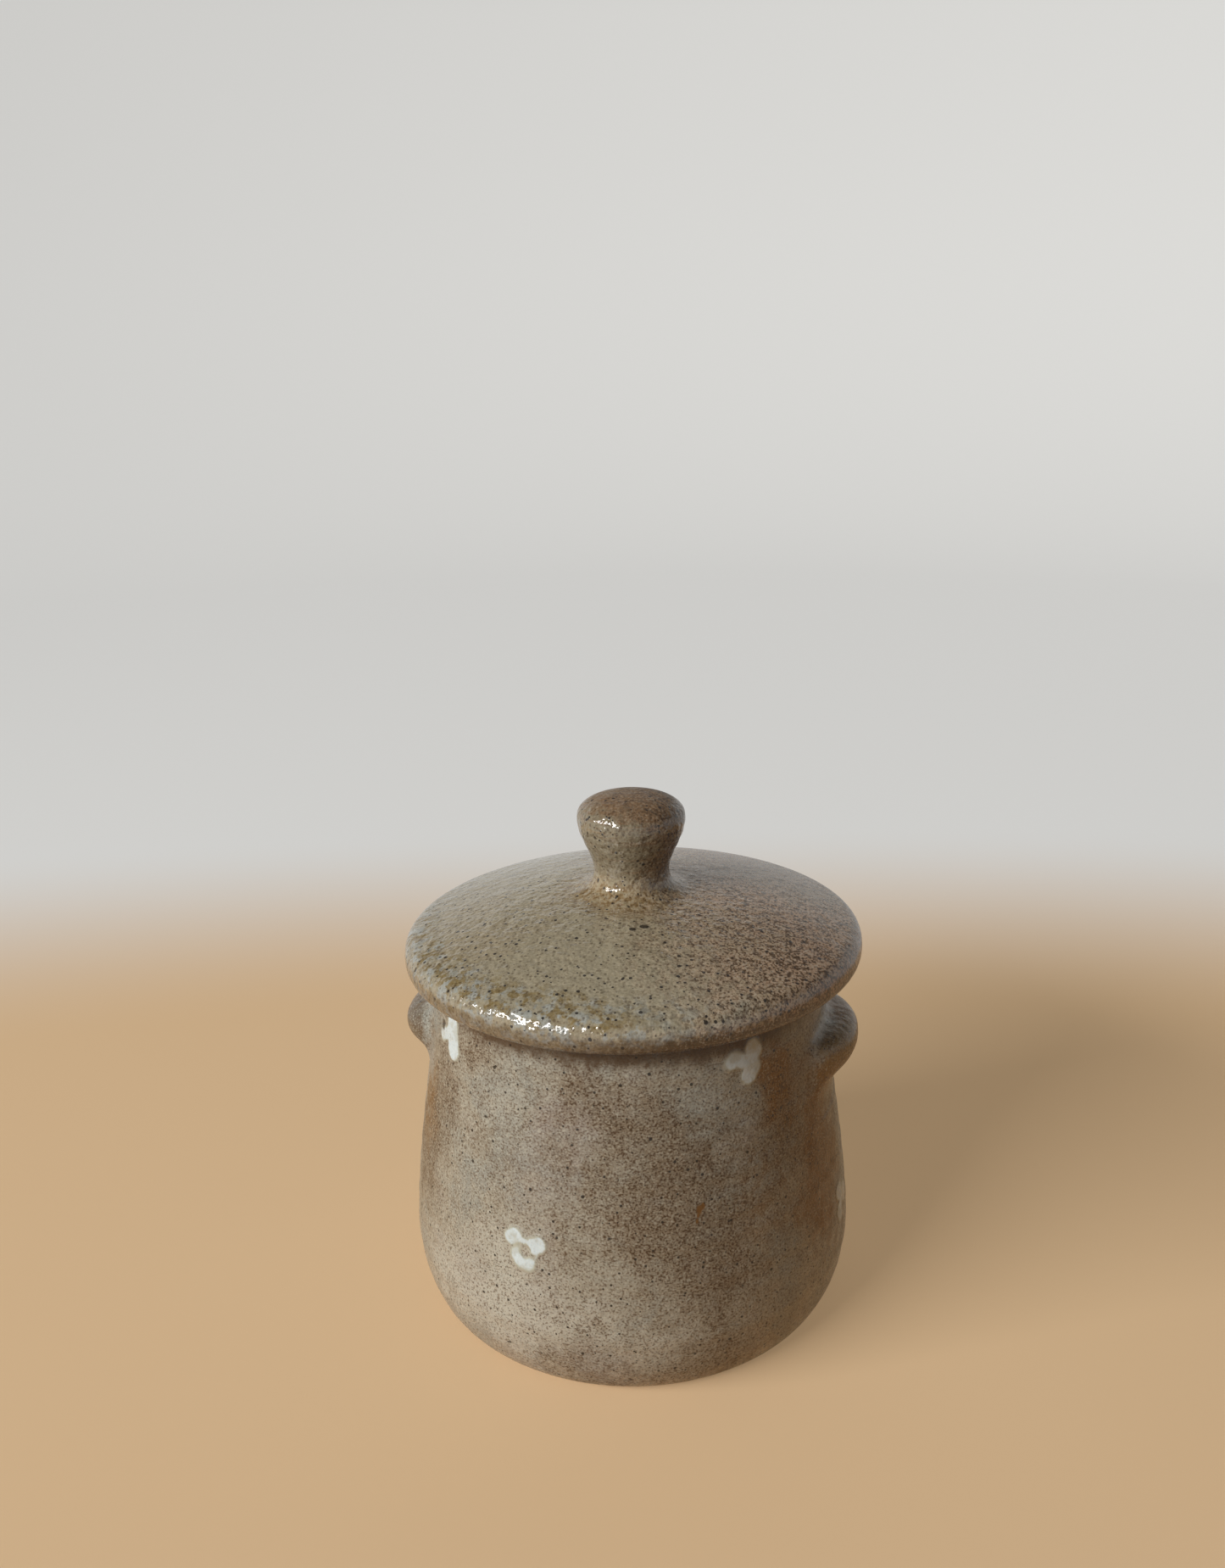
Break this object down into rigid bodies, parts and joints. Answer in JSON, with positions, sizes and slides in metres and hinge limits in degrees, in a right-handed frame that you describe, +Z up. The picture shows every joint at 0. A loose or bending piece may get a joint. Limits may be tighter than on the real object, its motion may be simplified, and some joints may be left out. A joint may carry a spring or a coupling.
{
  "type": "lidded jar",
  "caption": "Small bell-shaped stoneware jar with tab lugs and an overhanging domed lid that lifts off by its pommel knob.",
  "frame": {"origin": "centre of the jar's foot, on the surface it stands on", "axes": "+Z up along the jar's axis, +X towards the right lug, -Y towards the viewer"},
  "size_m": [0.107, 0.105, 0.1212],
  "materials": {
    "body_glaze": "satin speckled stoneware glaze",
    "lid_glaze": "glossy speckled stoneware glaze",
    "bare_clay": "matt unglazed stoneware"
  },
  "bodies": {
    "jar": {"jar_body": "body_glaze", "lug_right": "body_glaze", "lug_left": "body_glaze"},
    "lid": {"lid": "lid_glaze", "lid_flange": "bare_clay", "lid_knob": "lid_glaze"}
  },
  "joints": [
    {"name": "lid_lift", "type": "slide", "parent": "jar", "child": "lid", "axis": [0, 0, 1], "range_m": [0, 0.13]}
  ]
}
